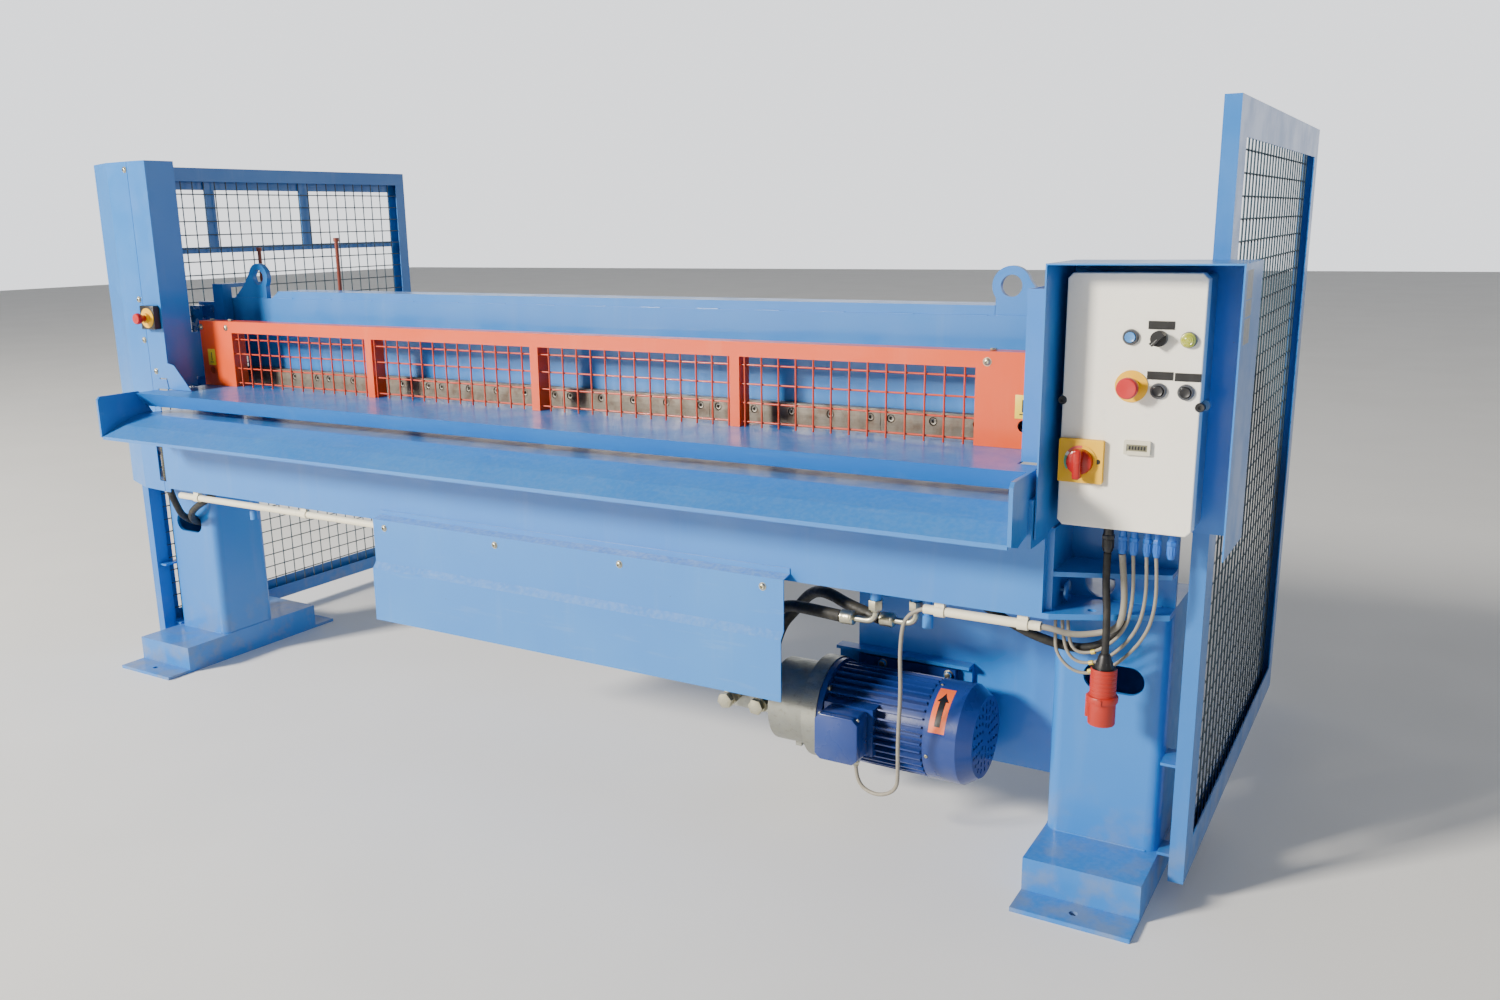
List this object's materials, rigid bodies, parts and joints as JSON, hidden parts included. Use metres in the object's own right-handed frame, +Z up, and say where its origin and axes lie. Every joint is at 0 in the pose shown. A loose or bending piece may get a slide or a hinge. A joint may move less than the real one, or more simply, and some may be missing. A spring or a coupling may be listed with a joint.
{
  "type": "hydraulic mesh shear",
  "caption": "Wide hydraulic guillotine that cuts welded reinforcement mesh, with infeed funnel, wire guards, side fences, control station and a power pack below the beam.",
  "frame": {"origin": "centre of the four anchor holes, on the floor", "axes": "+X along the beams towards the control station, +Y to the rear, +Z up"},
  "size_m": [3.4355, 1.597, 1.617],
  "materials": {
    "machine_blue": "semi-gloss enamel",
    "guard_orange": "semi-gloss enamel",
    "guard_wire": "semi-gloss enamel",
    "side_wire": "satin enamel",
    "knife_steel": "ground, lightly rusted",
    "bolt_steel": "plated",
    "guide_paint": "semi-gloss enamel",
    "cylinder_paint": "semi-gloss enamel",
    "rod_chrome": "polished",
    "zinc_steel": "zinc plated",
    "hose_rubber": "matt",
    "cable_rubber": "matt",
    "cast_aluminium": "as cast",
    "motor_blue": "enamel",
    "rotor_plastic": "moulded",
    "cream_plastic": "moulded",
    "grey_box": "moulded",
    "black_plastic": "moulded",
    "button_blue": "moulded",
    "button_black": "moulded",
    "collar_plastic": "moulded",
    "lamp_lens": "moulded",
    "signal_red": "moulded",
    "signal_yellow": "moulded",
    "counter_cream": "moulded",
    "label_black": "engraved laminate, blank",
    "gland_blue": "moulded",
    "plug_red": "moulded",
    "conduit_cream": "extruded",
    "rod_redbrown": "primer"
  },
  "bodies": {
    "frame": {"stand_left": "machine_blue", "stand_right": "machine_blue", "lower_beam": "machine_blue", "end_brackets": "machine_blue", "stop_screws": "zinc_steel", "lower_blade": "knife_steel", "guide_columns": "guide_paint", "cylinders": "cylinder_paint", "funnel_upper": "machine_blue", "funnel_lower": "machine_blue", "guard_frame": "guard_orange", "guard_mesh": "guard_wire", "housing_front": "machine_blue", "housing_sides": "machine_blue", "side_guard_left": "machine_blue", "side_guard_right": "machine_blue", "side_meshes": "side_wire", "lower_cover": "machine_blue", "back_panel": "machine_blue", "oil_tank": "machine_blue", "bellhousing": "cast_aluminium", "motor_body": "motor_blue", "motor_mount": "machine_blue", "motor_cowl": "motor_blue", "terminal_box": "motor_blue", "hydraulic_fittings": "zinc_steel", "hydraulic_hoses": "hose_rubber", "control_hood": "machine_blue", "enclosure_box": "grey_box", "enclosure_cover": "cream_plastic", "operator_collars": "collar_plastic", "signal_lamp": "lamp_lens", "estop_rings": "signal_yellow", "estop_box": "black_plastic", "hour_counter": "counter_cream", "switch_plate": "signal_yellow", "label_plates": "label_black", "cable_glands": "gland_blue", "plug": "plug_red", "supply_cord": "cable_rubber", "motor_lead": "cable_rubber", "cable_1": "cable_rubber", "cable_2": "cable_rubber", "cable_3": "cable_rubber", "cable_4": "cable_rubber", "conduits": "conduit_cream", "cover_bolts": "zinc_steel", "rear_rods": "rod_redbrown"},
    "knife": {"knife_beam": "machine_blue", "upper_blade": "knife_steel", "blade_bolts": "bolt_steel", "piston_rods": "rod_chrome"},
    "start_button": {"button_start": "button_blue"},
    "down_button": {"button_down": "button_black"},
    "return_button": {"button_return": "button_black"},
    "right_estop": {"estop_head_right": "signal_red"},
    "left_estop": {"estop_head_left": "signal_red"},
    "selector": {"selector_knob": "button_black"},
    "main_switch": {"switch_handle": "signal_red"},
    "rotor": {"motor_rotor": "rotor_plastic"}
  },
  "joints": [
    {"name": "knife_stroke", "type": "slide", "parent": "frame", "child": "knife", "axis": [0, 0, 1], "range_m": [-0.05, 0]},
    {"name": "start_press", "type": "slide", "parent": "frame", "child": "start_button", "axis": [0, 1, 0], "range_m": [0, 0.003], "stiffness_N_per_m": 400},
    {"name": "down_press", "type": "slide", "parent": "frame", "child": "down_button", "axis": [0, 1, 0], "range_m": [0, 0.003], "stiffness_N_per_m": 400},
    {"name": "return_press", "type": "slide", "parent": "frame", "child": "return_button", "axis": [0, 1, 0], "range_m": [0, 0.003], "stiffness_N_per_m": 400},
    {"name": "right_estop_press", "type": "slide", "parent": "frame", "child": "right_estop", "axis": [0, 1, 0], "range_m": [0, 0.005]},
    {"name": "left_estop_press", "type": "slide", "parent": "frame", "child": "left_estop", "axis": [0, 1, 0], "range_m": [0, 0.005]},
    {"name": "selector_turn", "type": "hinge", "parent": "frame", "child": "selector", "pos_m": [1.596, -0.285, 1.187], "axis": [0, 1, 0], "range_deg": [0, 90]},
    {"name": "main_switch_turn", "type": "hinge", "parent": "frame", "child": "main_switch", "pos_m": [1.467, -0.29, 0.95], "axis": [0, 1, 0], "range_deg": [0, 90]},
    {"name": "rotor_spin", "type": "hinge", "parent": "frame", "child": "rotor", "pos_m": [0.95, -0.042, 0.24], "axis": [1, 0, 0], "continuous": true}
  ]
}
